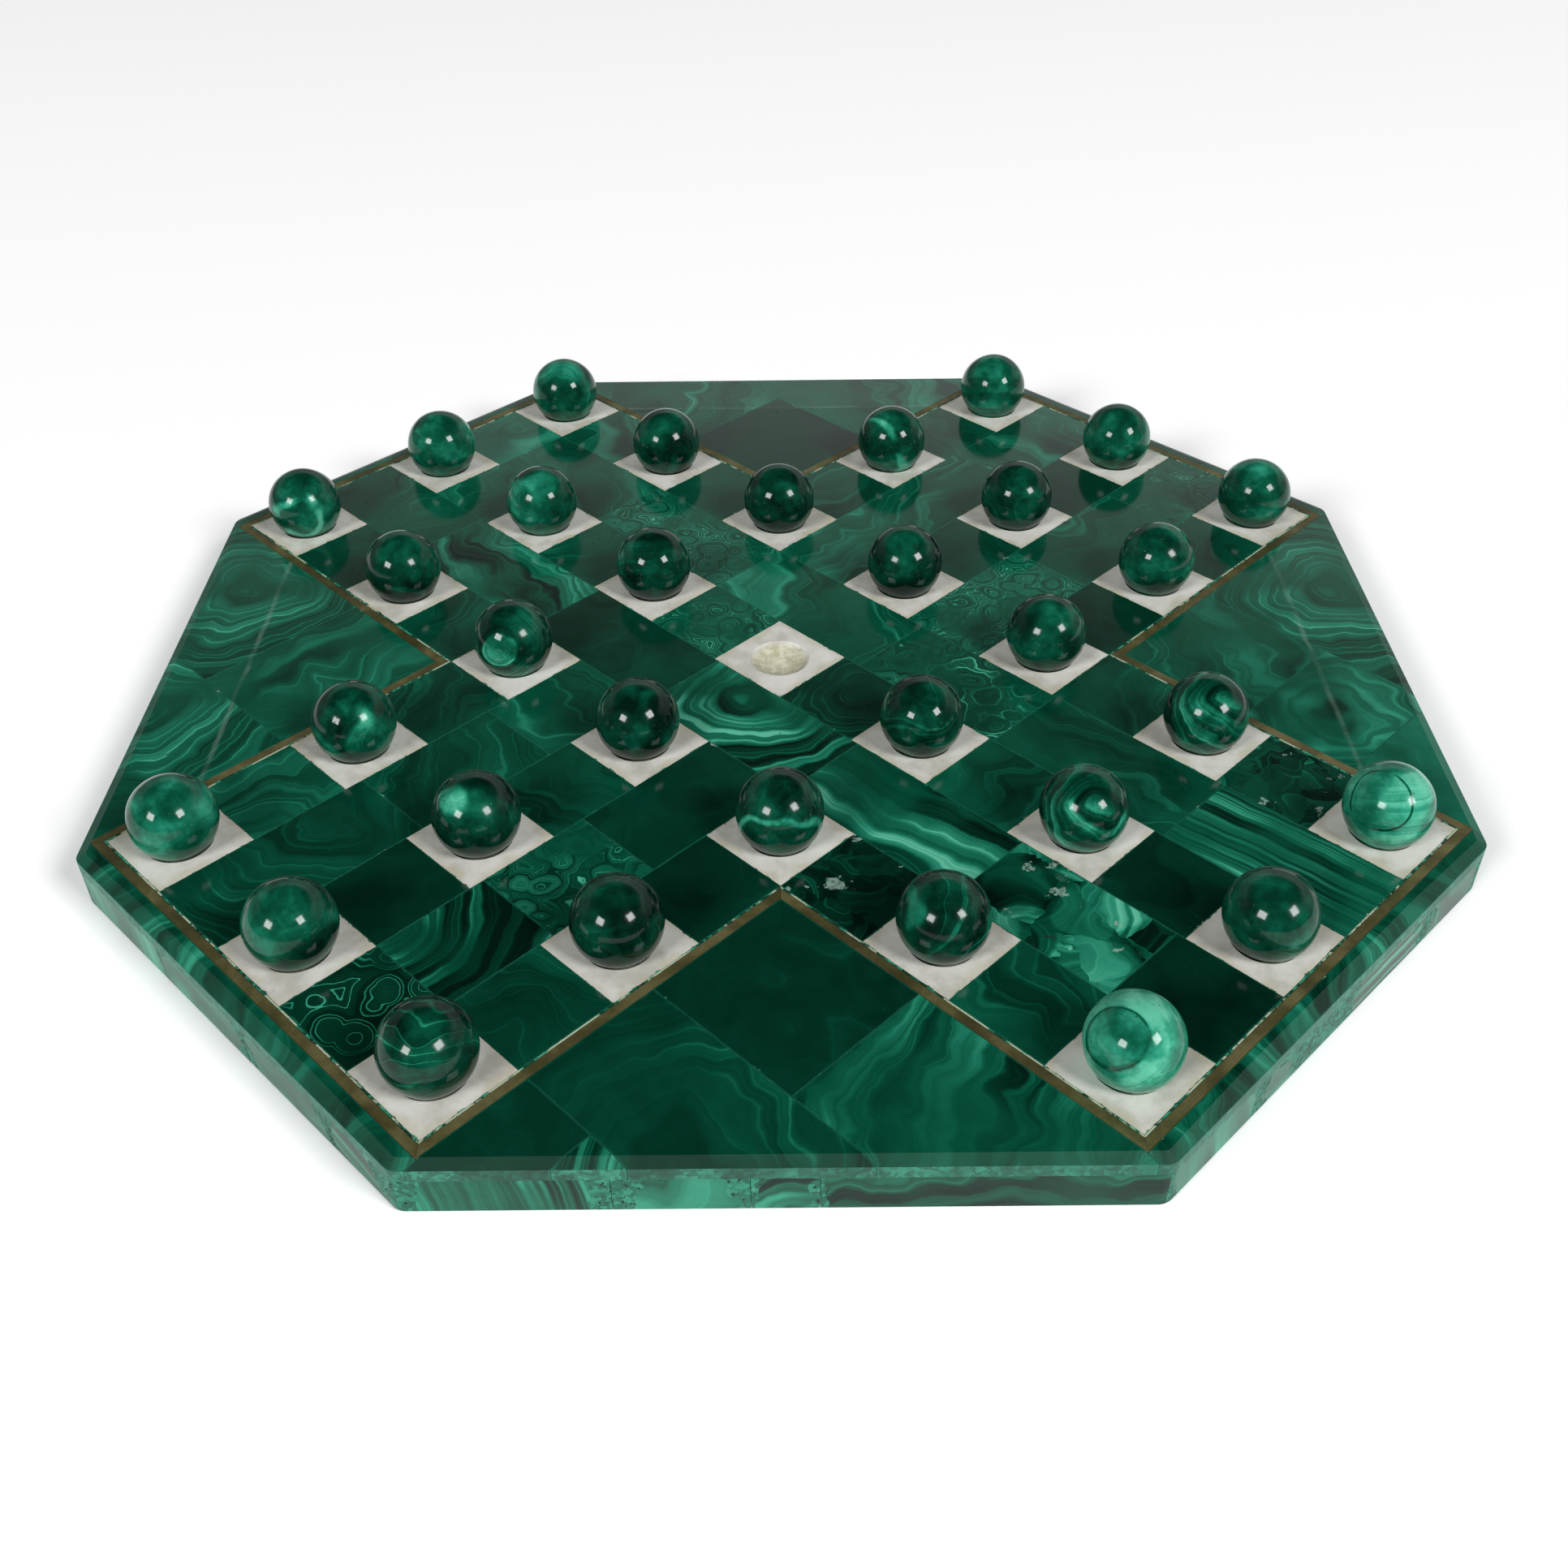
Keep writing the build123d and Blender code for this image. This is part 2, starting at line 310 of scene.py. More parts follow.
def polished_malachite():
    """The veneer. Its seams and chips follow the stone's edges. The third part of inset is the distance from
    the line where a panel starts to slope. Faces that aren't level are matt and packed with mastic."""
    mat, tree = material("polished_malachite")
    value, place, cloud, _ = malachite(tree)
    colour = tree.ramp(value, GREENS)
    edge = edge_distance(tree)
    grain_colour, _ = crushed(tree, place)
    # Filled seams, crushed repairs and pale flakes along them, and pits in cloudy stone.
    uneven = tree.math("MULTIPLY_ADD", tree.noise(place, 3, 2), -0.35, edge)
    joint = tree.span(uneven, -0.12, 0.05, 0.55, 0.0)
    colour = tree.blend(joint, colour, SEAM_GREEN)
    chip = tree.math("MULTIPLY_ADD", tree.noise(place, 4.5, 4, 0.7), -6.0, edge)
    colour = tree.blend(tree.span(chip, -3.9, -3.75, 0.85, 0.0), colour, grain_colour)
    flake = tree.math("MULTIPLY_ADD", tree.noise(place, 9, 5, 0.72), -9.0, edge)
    colour = tree.blend(tree.span(flake, -6.0, -5.9, 0.75, 0.0), colour, FLAKE_CREAM)
    pit = tree.span(tree.noise(place, 1.1, 2, 0.5), 0.70, 0.74)
    pit = tree.math("MULTIPLY", pit, tree.span(cloud, 0.52, 0.62))
    colour = tree.blend(tree.math("MULTIPLY", pit, 0.7), colour, PIT_DARK)
    # Pale scars in shattered stone.
    shatter = tree.parts(tree.attribute("half"))[2]
    scar = tree.span(tree.noise(place, 8, 5, 0.68), 0.615, 0.635)
    scar = tree.math("MULTIPLY", scar, tree.span(shatter, 0.0, 0.4))
    scar = tree.math("MULTIPLY", scar, tree.span(tree.noise(place, 0.8, 2), 0.3, 0.6, 0.35, 0.85))
    colour = tree.blend(scar, colour, SCAR_PALE)
    # The line where a panel starts to slope: paler and rougher, partly wear and partly a painted highlight.
    from_crease = tree.parts(tree.attribute("inset"))[2]
    waver = tree.math("SUBTRACT", tree.noise(place, 9, 3), 0.5)
    from_crease = tree.math("MULTIPLY_ADD", waver, 1.6, from_crease)
    wear_and_sheen = tree.span(tree.math("ABSOLUTE", from_crease), 0.1, 0.9, 1.0, 0.0)
    wear_and_sheen = tree.math("MULTIPLY", wear_and_sheen, tree.span(tree.noise(place, 16, 4, 0.6), 0.4, 0.6, 0.25, 1.0))
    colour = tree.blend(tree.math("MULTIPLY", wear_and_sheen, 0.24), colour, WEAR_AND_SHEEN_PALE)
    # A polish that isn't quite flat.
    wave = tree.noise(place, 14, 1)
    height = tree.math("SUBTRACT", tree.math("MULTIPLY", wave, 0.35), tree.math("MULTIPLY", pit, 0.5))
    rough = tree.math("MULTIPLY_ADD", pit, 0.4, tree.span(cloud, 0.35, 0.7, 0.09, 0.12))
    rough = tree.math("MULTIPLY_ADD", wear_and_sheen, 0.1, rough)
    # Bevels and sides.
    upright = tree.parts(tree.add("ShaderNodeNewGeometry").outputs["True Normal"])[2]
    side = tree.span(upright, 0.3, 0.8, 1.0, 0.0)
    packed = tree.span(tree.noise(place, 14, 3, 0.6), 0.38, 0.56, 0.25, 0.85)
    mastic = tree.blend(0.5, grain_colour, MASTIC_GREEN)
    colour = tree.blend(tree.math("MULTIPLY", side, packed), colour, mastic)
    rough = tree.math("MAXIMUM", rough, tree.span(upright, 0.93, 0.985, 0.5, 0.0))
    surface(tree, Base_Color=colour, Roughness=rough, IOR=1.42, Normal=bump(tree, height, 0.05 * MM))
    return mat


def facing_malachite():
    """The edge facings, duller than the top. Mastic with crushed stone fills their ends and some hollows."""
    mat, tree = material("facing_malachite")
    value, place, _, _ = malachite(tree)
    colour = tree.ramp(value, GREENS)
    # Filler at the stone's two ends and in hollows, with pits and pale chips in it.
    x, _, _ = tree.parts(tree.attribute("inset"))
    half_x, _, _ = tree.parts(tree.attribute("half"))
    end = tree.math("SUBTRACT", half_x, tree.math("ABSOLUTE", x))
    ragged = tree.math("MULTIPLY_ADD", tree.noise(place, 12, 3, 0.55), -24.0, end)
    grain_colour, grain = crushed(tree, place)
    filler = tree.span(ragged, -9.6, -9.0, 1.0, 0.0)
    filler = tree.math("MAXIMUM", filler, tree.span(tree.noise(place, 42, 3, 0.5), 0.60, 0.62))
    mastic = tree.blend(0.5, grain_colour, FACING_MASTIC_GREEN)
    colour = tree.blend(tree.math("MULTIPLY", filler, 0.9), colour, mastic)
    hole = tree.noise(place, 1.0, 2, 0.5)
    pit = tree.math("MULTIPLY", tree.span(hole, 0.62, 0.67), filler)
    chip = tree.math("MULTIPLY", tree.span(hole, 0.30, 0.27), filler)
    colour = tree.blend(pit, colour, FACING_PIT_DARK)
    colour = tree.blend(tree.math("MULTIPLY", chip, 0.6), colour, FACING_CHIP_PALE)
    height = tree.math("SUBTRACT", tree.math("MULTIPLY", grain, tree.math("MULTIPLY", filler, 0.3)), pit)
    rough = tree.math("MULTIPLY_ADD", filler, 0.2, 0.32)
    surface(tree, Base_Color=colour, Roughness=rough, IOR=1.31, Normal=bump(tree, height, 0.2 * MM))
    return mat


def marble_malachite():
    """Inset's X and Y hold how much lighter an eye in the stone is, and its radius in millimetres. Half's
    hold how much lighter the eye's rim is, and the width that it fades over."""
    mat, tree = material("marble_malachite")
    value, place, cloud, ring = malachite(tree)
    eye, eye_radius, _ = tree.parts(tree.attribute("inset"))
    rim, rim_width, _ = tree.parts(tree.attribute("half"))
    # The eye and its broken rim.
    past_eye = tree.math("DIVIDE", tree.math("SUBTRACT", ring, eye_radius), rim_width)
    value = tree.math("MULTIPLY_ADD", tree.span(past_eye, -1.0, 0.5, 1.0, 0.0), eye, value)
    on_rim = tree.span(tree.math("ABSOLUTE", past_eye), 0.2, 1.0, 1.0, 0.0)
    on_rim = tree.math("MULTIPLY", on_rim, tree.span(tree.noise(place, 10, 2), 0.38, 0.54))
    value = tree.math("MULTIPLY_ADD", on_rim, rim, value)
    # Clouds over all of it, and pits.
    mottle = tree.span(tree.noise(place, 7, 4, 0.6), 0.3, 0.72, -0.20, 0.20)
    value = tree.math("ADD", mottle, value)
    colour = tree.ramp(value, GREENS)
    pit = tree.span(tree.noise(place, 1.0, 2, 0.5), 0.69, 0.73)
    pit = tree.math("MULTIPLY", pit, tree.span(cloud, 0.50, 0.60))
    colour = tree.blend(tree.math("MULTIPLY", pit, 0.6), colour, PIT_DARK)
    rough = tree.span(tree.noise(place, 5, 3, 0.6), 0.35, 0.7, 0.07, 0.15)
    height = tree.math("SUBTRACT", tree.math("MULTIPLY", tree.noise(place, 3, 2), 0.5), pit)
    surface(tree, Base_Color=colour, Roughness=rough, IOR=1.33, Normal=bump(tree, height, 0.06 * MM))
    return mat


def white_marble():
    """The socket tiles: stained at the edges, and worn to a rough yellow in the dimple."""
    mat, tree = material("white_marble")
    place = tree.attribute("place")
    inset = tree.vector("MULTIPLY", tree.attribute("inset"), (1, 1, 0))
    out = tree.vector("LENGTH", inset, output=1)
    veins = tree.noise(place, 11, 5, 0.62)
    colour = tree.ramp(tree.span(veins, 0.3, 0.7), (
        (0.0, (0.50, 0.49, 0.43)), (0.45, (0.66, 0.65, 0.60)), (1.0, (0.75, 0.745, 0.70))))
    # Stains that creep in from the edges.
    edge = edge_distance(tree)
    stain = tree.math("MULTIPLY_ADD", tree.noise(place, 7, 2), -7.5, edge)
    colour = tree.blend(tree.span(stain, -4.0, -1.8, 0.45, 0.0), colour, TILE_STAIN)
    # The worn dimple.
    seat = tree.math("MULTIPLY_ADD", tree.noise(place, 2.2, 3, 0.6), 1.6, out)
    dimple = tree.span(seat, 6.6, 7.6, 1.0, 0.0)
    speck = tree.noise(place, 1.5, 3, 0.65)
    wear_and_sheen = tree.blend(tree.span(speck, 0.35, 0.65), DIMPLE_DIRT, DIMPLE_STONE)
    colour = tree.blend(tree.math("MULTIPLY", dimple, 0.75), colour, wear_and_sheen)
    # Chipped edges, filled with crushed stone.
    ragged = tree.math("MULTIPLY_ADD", tree.noise(place, 2.5, 4, 0.65), -2.2, edge)
    grain_colour, _ = crushed(tree, place)
    colour = tree.blend(tree.span(ragged, -1.25, -1.1, 0.85, 0.0), colour, grain_colour)
    rough = tree.math("MULTIPLY_ADD", dimple, 0.35, 0.32)
    height = tree.math("MULTIPLY", speck, tree.math("MULTIPLY_ADD", dimple, 1.0, 0.12))
    surface(tree, Base_Color=colour, Roughness=rough, Normal=bump(tree, height, 0.15 * MM))
    return mat


def dull_brass():
    mat, tree = material("dull_brass")
    place = tree.attribute("place")
    patch = tree.noise(place, 11, 5, 0.6)
    colour = tree.ramp(tree.span(patch, 0.3, 0.7), (
        (0.0, (0.085, 0.078, 0.028)), (0.5, (0.150, 0.134, 0.050)), (1.0, (0.27, 0.235, 0.100))))
    scratches = tree.noise(tree.vector("MULTIPLY", place, (0.2, 3.0, 1.0)), 0.8, 2)
    rough = tree.math("MULTIPLY_ADD", scratches, 0.3, 0.28)
    surface(tree, Base_Color=colour, Metallic=0.6, Roughness=rough, Normal=bump(tree, scratches, 0.03 * MM))
    return mat


def filler_malachite():
    mat, tree = material("filler_malachite")
    place = tree.attribute("place")
    colour, grain = crushed(tree, place)
    chips = tree.span(tree.noise(place, 7, 4, 0.65), 0.50, 0.55)
    colour = tree.blend(chips, colour, FILLER_CREAM)
    surface(tree, Base_Color=colour, Roughness=0.45, Normal=bump(tree, grain, 0.1 * MM))
    return mat


def core_stone():
    mat, tree = material("core_stone")
    place = tree.add("ShaderNodeTexCoord").outputs["Object"]
    fleck = tree.noise(place, 4 * MM, 5, 0.65)
    colour = tree.ramp(fleck, ((0.3, (0.05, 0.055, 0.05)), (0.7, (0.13, 0.135, 0.125))))
    surface(tree, Base_Color=colour, Roughness=0.75, Normal=bump(tree, fleck, 0.2 * MM))
    return mat


def white_floor():
    """A pale sweep. It has a glow of its own that the eye sees far out, where the lamps don't reach."""
    mat, tree = material("white_floor")
    out = tree.vector("LENGTH", tree.add("ShaderNodeTexCoord").outputs["Object"], output=1)
    seen = tree.add("ShaderNodeLightPath").outputs["Is Camera Ray"]
    glow = tree.math("MULTIPLY_ADD", tree.span(out, 0.5, 5.0, 0.0, 0.58), seen, 0.25)
    surface(tree, Base_Color=(0.92, 0.92, 0.92, 1), Roughness=0.9, Specular_IOR_Level=0.0,
            Emission_Color=(1, 1, 1, 1), Emission_Strength=glow)
    return mat


VENEER = polished_malachite()
FACING = facing_malachite()
MARBLE = marble_malachite()
WHITE = white_marble()
BRASS = dull_brass()
FILLER = filler_malachite()
CORE = core_stone()


# ---------------------------------------------------------------- stones

# Where a style holds what goes into each layer.
LOOK, GROWTH, RINGS, SHATTERED = slice(0, 4), slice(4, 8), 4, 8

# How kinds of stone grew: tone, contrast, band pitch in mm, wander; rings, layers, nodules, hairlines (dark
# where the number is below 0); shattered.
STYLES = {
    "black": (0.14, 0.15, 9.0, 1.0, 0.0, 0.2, 0.8, 0.1, 0),
    "dark": (0.20, 0.16, 9.0, 1.0, 0.0, 0.2, 0.8, 0.2, 0),
    "plain": (0.33, 0.24, 6.0, 1.0, 0.0, 0.6, 0.5, 0.8, 0),
    "faint": (0.30, 0.20, 4.0, 1.0, 0.0, 0.6, 0.5, 0.7, 0),
    "cloudy": (0.42, 0.36, 6.0, 1.0, 0.0, 0.6, 0.5, 0.7, 0),
    "pale": (0.56, 0.30, 7.0, 1.0, 0.0, 0.4, 0.6, 0.3, 0),
    "flowing": (0.40, 0.60, 4.4, 1.1, 0.0, 0.8, 0.4, 0.6, 0),
    "soft_bands": (0.58, 0.45, 5.0, 0.5, 0.0, 1.0, 0.1, 0.3, 0),
    "striped": (0.46, 0.80, 1.8, 0.22, 0.0, 1.0, 0.0, 0.8, 0),
    "bold": (0.38, 1.05, 5.0, 0.8, 1.0, 0.0, 0.1, 0.8, 0),
    "ringed": (0.40, 0.42, 6.0, 0.8, 1.0, 0.0, 0.3, 1.0, 0),
    "dark_ringed": (0.16, 0.22, 5.0, 0.8, 1.0, 0.0, 0.3, 1.0, 0),
    "wide_flow": (0.42, 0.75, 7.0, 0.8, 0.0, 1.0, 0.2, 0.8, 0),
    "flowers": (0.13, 0.22, 5.0, 0.5, 0.0, 0.0, 1.0, 3.2, 0),
    "dim_ringed": (0.25, 0.30, 8.0, 0.9, 1.0, 0.0, 0.3, 0.7, 0),
    "heart": (0.36, 0.90, 9.0, 1.0, 1.0, 0.0, 0.2, 0.8, 0),
    "lacy": (0.36, 0.42, 2.6, 0.9, 0.0, 0.1, 1.0, 2.2, 0),
    "knobs": (0.40, 0.26, 4.0, 0.9, 0.0, 0.0, 1.0, 2.0, 0),
    "broken": (0.46, 1.00, 3.6, 0.9, 0.0, 0.3, 1.0, 0.7, 1.0),
    "chipped": (0.27, 0.45, 4.0, 0.9, 0.0, 0.3, 1.0, 1.2, 0.5),
    "dark_chipped": (0.09, 0.35, 4.0, 0.9, 0.0, 0.3, 1.0, 1.2, 0.5),
    "arcs": (0.27, 0.95, 4.4, 0.6, 1.0, 0.0, 0.1, 1.0, 0),
}

# How much finer than life the pattern of a style is drawn, where it isn't 1.
FINENESS = {"lacy": 2.2, "knobs": 2.4, "flowers": 1.8, "broken": 0.62}

# How stones of the top look: a point that the stone holds, in cells east and north of the board's centre,
# its style, and the way that its layers follow each other, in degrees from east. Ringed styles can add where
# the rings' centre lies, in cells east and north of the stone's, and how many mm above it they are cut.
FIELD_LOOKS = (
    (-6, 1, "pale", 20), (-4.5, 1, "cloudy", 70), (-2.5, 1, "knobs", 10), (-0.5, 1, "cloudy", 40),
    (1.5, 1, "lacy", 30), (3.5, 1, "plain", 100), (5.5, 1, "striped", 94),
    (-5.5, -1, "plain", 15), (-3.5, -1, "flowing", 80), (-1.4, -1, "dark", 0),
    (0.5, -1, "bold", 0, (-0.3, 0.25)), (2.6, -1, "wide_flow", 98), (4.5, -1, "broken", 30),
    (6, -1, "black", 0),
    (1, 0, "dark_ringed", 0, (0.1, 0.1)), (-1, 0, "knobs", 50), (3, 0, "cloudy", 20), (5, 0, "black", 0),
    (-3, 0, "plain", 0), (-5, 0, "cloudy", 30),
    (3, 2, "plain", 60), (5, 2, "chipped", 0), (-3, 2, "plain", 0), (-5, 2, "cloudy", 60),
    (3, -2, "dark_chipped", 45), (5, -2, "plain", 80), (-3, -2, "plain", 45), (-5, -2, "dark", 0),
    (-1, -2, "plain", 80), (-1, -3.5, "faint", 45), (-1, -5.5, "dim_ringed", 0, (-0.2, 0.5)),
    (1, -2.3, "dark", 0), (1, -3.7, "lacy", 0), (1, -4.9, "arcs", 0, (-0.9, -0.5)), (1, -6, "flowers", 0),
    (-2, -3, "faint", 20), (0, -3, "faint", 90), (2, -3, "black", 0),
    (-2, -5, "cloudy", 150), (0, -5, "dark", 0), (2, -5, "faint", 120),
    (-1, 2.2, "cloudy", 0), (-1, 3.8, "plain", 30), (-1, 5.6, "cloudy", 90),
    (1, 2.4, "knobs", 0), (1, 4.3, "plain", 0), (1, 5.9, "lacy", 0),
    (-2, 3, "plain", 0), (0, 3, "faint", 100), (2, 3, "dark", 0),
    (-2, 5, "plain", 60), (0, 5, "dark", 0), (2, 5, "plain", 30),
    (3.4, -3.3, "dark", 0), (5.6, -3.3, "flowing", 20), (3.6, -4.8, "dim_ringed", 0, (0.1, -0.3, 9)),
    (3.0, -6.1, "dark", 0), (3.62, -5.72, "striped", 30),
    (3.3, 3.3, "cloudy", 60), (4.7, 3.3, "heart", 0, (0.1, -0.1, 13)), (6.0, 3.2, "pale", 40),
    (3.4, 4.7, "ringed", 0, (-0.3, -0.2)),
    (-3.4, 3.4, "dark", 0), (-5.0, 3.2, "cloudy", 40), (-3.4, 4.9, "cloudy", 70),
    (-3.3, -3.5, "cloudy", 0), (-5.0, -3.3, "ringed", 30, (0.3, 0.2)),
    (-3.3, -5.0, "ringed", 60, (0.2, 0.5)),
    (6.7, 0, "flowing", 70), (0, -6.7, "flowing", 20), (-6.7, 0, "plain", 0), (0, 6.7, "plain", 90),
)


def new_layers(bm):
    """The layers that the stone materials read: place, look, growth, inset and half."""
    vectors = [bm.verts.layers.float_vector.new(name) for name in ("place", "inset", "half")]
    colours = [bm.verts.layers.float_color.new(name) for name in ("look", "growth")]
    return vectors[0], *colours, *vectors[1:]


WELD_DISTANCE = 1e-6
FLAT_DEGREES = 0.3


def stones_of(node):
    """A CAD node's solids, welded and with flat faces joined: the mesh, its layers, and each stone's
    vertices."""
    bm = bmesh.new()
    bm.from_mesh(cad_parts[node].data)
    bmesh.ops.remove_doubles(bm, verts=bm.verts, dist=WELD_DISTANCE)
    bmesh.ops.dissolve_limit(bm, angle_limit=radians(FLAT_DEGREES), verts=bm.verts, edges=bm.edges)
    layers = new_layers(bm)
    left = set(bm.verts)
    groups = []
    for vert in bm.verts:
        if vert not in left:
            continue
        left.discard(vert)
        group = [vert]
        for member in group:
            for edge in member.link_edges:
                other = edge.other_vert(member)
                if other in left:
                    left.discard(other)
                    group.append(other)
        groups.append(group)
    return bm, layers, groups


# Stones with no line of wear and painted highlight near get this distance.
NO_CREASE = 99  # millimetres, for stones with no worn line near
VENEER_SHARP_DEGREES = 0.4  # keeps the faint line across a panel, which bends by less than a degree
OTHER_SHARP_DEGREES = 20


def styled(node, piece_name, mat, choose):
    """Makes the piece that stands for a CAD node of stones. From a stone's centre and half size, choose
    gives its style, its pattern's turn and origin, and the angle of its own length in plan."""
    bm, (place, look, growth, inset, half), groups = stones_of(node)
    # The paler line, partly wear and partly a painted highlight, shows on every panel but the front one.
    crease_wear_and_sheen = "panel" in node and "southeast" not in node
    for group in groups:
        low = Vector([min(v.co[k] for v in group) for k in range(3)])
        high = Vector([max(v.co[k] for v in group) for k in range(3)])
        centre = (low + high) / 2
        size = (high - low) / 2
        style, spin, origin, frame_turn = choose(centre, size)
        values = STYLES[style]
        per_metre = FINENESS.get(style, 1) / MM
        lay = Matrix.Rotation(-frame_turn, 3, "Z")
        corners = [lay @ (v.co - centre) for v in group]
        reach = Vector([max(abs(c[k]) for c in corners) for k in range(3)])
        for vert, corner in zip(group, corners):
            vert[place] = spin @ (vert.co - centre) * per_metre + origin
            vert[look] = values[LOOK]
            vert[growth] = values[GROWTH]
            from_crease = (abs(vert.co.x) + abs(vert.co.y)) / sqrt(2) - crease_apothem
            vert[inset] = (corner.x / MM, corner.y / MM, from_crease / MM if crease_wear_and_sheen else NO_CREASE)
            vert[half] = (reach.x / MM, reach.y / MM, values[SHATTERED])
    mesh = bpy.data.meshes.new(piece_name)
    bm.to_mesh(mesh)
    bm.free()
    # The CAD mesh's own normals no longer fit the joined faces.
    mesh.attributes.remove(mesh.attributes["custom_normal"])
    mesh.shade_smooth()
    sharp_degrees = VENEER_SHARP_DEGREES if mat is VENEER else OTHER_SHARP_DEGREES
    mesh.set_sharp_from_angle(angle=radians(sharp_degrees))
    mesh.materials.append(mat)
    piece = bpy.data.objects.new(piece_name, mesh)
    bpy.context.scene.collection.objects.link(piece)
    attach(piece, "board")
    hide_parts(node)


dice = random.Random(33)


def far_origin():
    """A random place in pattern space, far from its origin, in millimetres."""
    return Vector([dice.uniform(100, 900) for _ in range(3)])


def flat_turn(degrees):
    """A turn in plan."""
    return Matrix.Rotation(radians(degrees), 3, "Z")


def any_stone(centre, size):
    """A plain stone, cut from anywhere and laid any way round."""
    return "plain", flat_turn(dice.uniform(0, 360)), far_origin(), 0.0


def field_stone(centre, size):
    """The look in FIELD_LOOKS whose point is inside this stone."""
    for east, north, style, turn, *rest in FIELD_LOOKS:
        if abs(east * cell - centre.x) < size.x and abs(north * cell - centre.y) < size.y:
            origin = far_origin()
            if STYLES[style][RINGS] > 0:
                shift_east, shift_north, *cut = rest[0] if rest else (0, 0)
                origin = Vector((-shift_east, -shift_north, 0)) * cell / MM
                origin += Vector((0, 0, dice.uniform(1, 4)))
                if cut:
                    origin.z = cut[0]
            return style, flat_turn(-turn), origin, 0.0
    return any_stone(centre, size)


for region in ("centre", "east", "north", "west", "south"):
    styled(f"field_stones_{region}", f"malachite_field_{region}", VENEER, field_stone)
    styled(f"socket_tiles_{region}", f"white_sockets_{region}", WHITE, any_stone)
for corner in ("southeast", "northeast", "northwest", "southwest"):
    styled(f"corner_panel_{corner}", f"malachite_panel_{corner}", VENEER, field_stone)
styled("border_strips", "malachite_border", VENEER, field_stone)
styled("brass_stringing", "brass_lines", BRASS, any_stone)
styled("filler_lines", "crushed_filler_lines", FILLER, any_stone)


def facing_stone(facing_turn):
    """Chooses a look for stones whose length lies along this angle. Most have bands along that length."""
    def choose(centre, size):
        style = dice.choices(("pale", "soft_bands", "flowing", "striped", "cloudy"), (3, 5, 2, 3, 2))[0]
        lean = Matrix.Rotation(radians(dice.choice((90, 90, 75, 110, 10))), 3, "Y")
        spin = lean @ Matrix.Rotation(-facing_turn, 3, "Z")
        return style, spin, far_origin(), facing_turn
    return choose


SIDES = ("east", "northeast", "north", "northwest", "west", "southwest", "south", "southeast")
for number, side in enumerate(SIDES):
    choose = facing_stone(radians(45 * number + 90))
    styled(f"edge_facing_{side}", f"malachite_facing_{side}", FACING, choose)

# The core slab is shown as its CAD mesh.
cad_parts["core_slab"].data.materials[0] = CORE


# ---------------------------------------------------------------- marbles

STYLES.update({
    "deep": (0.19, 0.22, 7.0, 1.0, 0.0, 0.3, 0.8, 0.5, 0),
    "mottled": (0.28, 0.45, 6.0, 1.0, 0.0, 0.2, 1.0, 0.4, 0),
    "misty": (0.36, 0.45, 7.0, 1.0, 0.0, 0.3, 0.9, 0.3, 0),
    "teal": (0.45, 0.50, 7.0, 1.0, 0.0, 0.5, 0.6, 0.4, 0),
    "teal_bands": (0.52, 0.85, 8.0, 0.7, 0.0, 1.0, 0.1, 0.4, 0),
    "veined": (0.22, 0.24, 3.6, 0.8, 0.0, 0.8, 0.3, 1.6, 0),
    "patchy": (0.26, 1.10, 7.5, 1.0, 0.0, 0.1, 1.0, 0.3, 0),
    "mint": (0.80, 0.16, 4.0, 0.25, 1.0, 0.0, 0.0, -0.7, 0),
    "mint_banded": (0.72, 0.32, 3.4, 0.3, 0.0, 1.0, 0.0, -0.5, 0),
    "swirled": (0.27, 0.66, 3.6, 0.9, 1.0, 0.0, 0.25, 0.8, 0),
    "eyed": (0.22, 0.40, 3.0, 0.5, 1.0, 0.0, 0.0, 1.5, 0),
    "lined": (0.25, 0.60, 2.6, 0.2, 0.0, 1.0, 0.0, 0.6, 0),
    "pale_lined": (0.43, 0.65, 4.0, 0.25, 0.0, 1.0, 0.0, 0.6, 0),
})

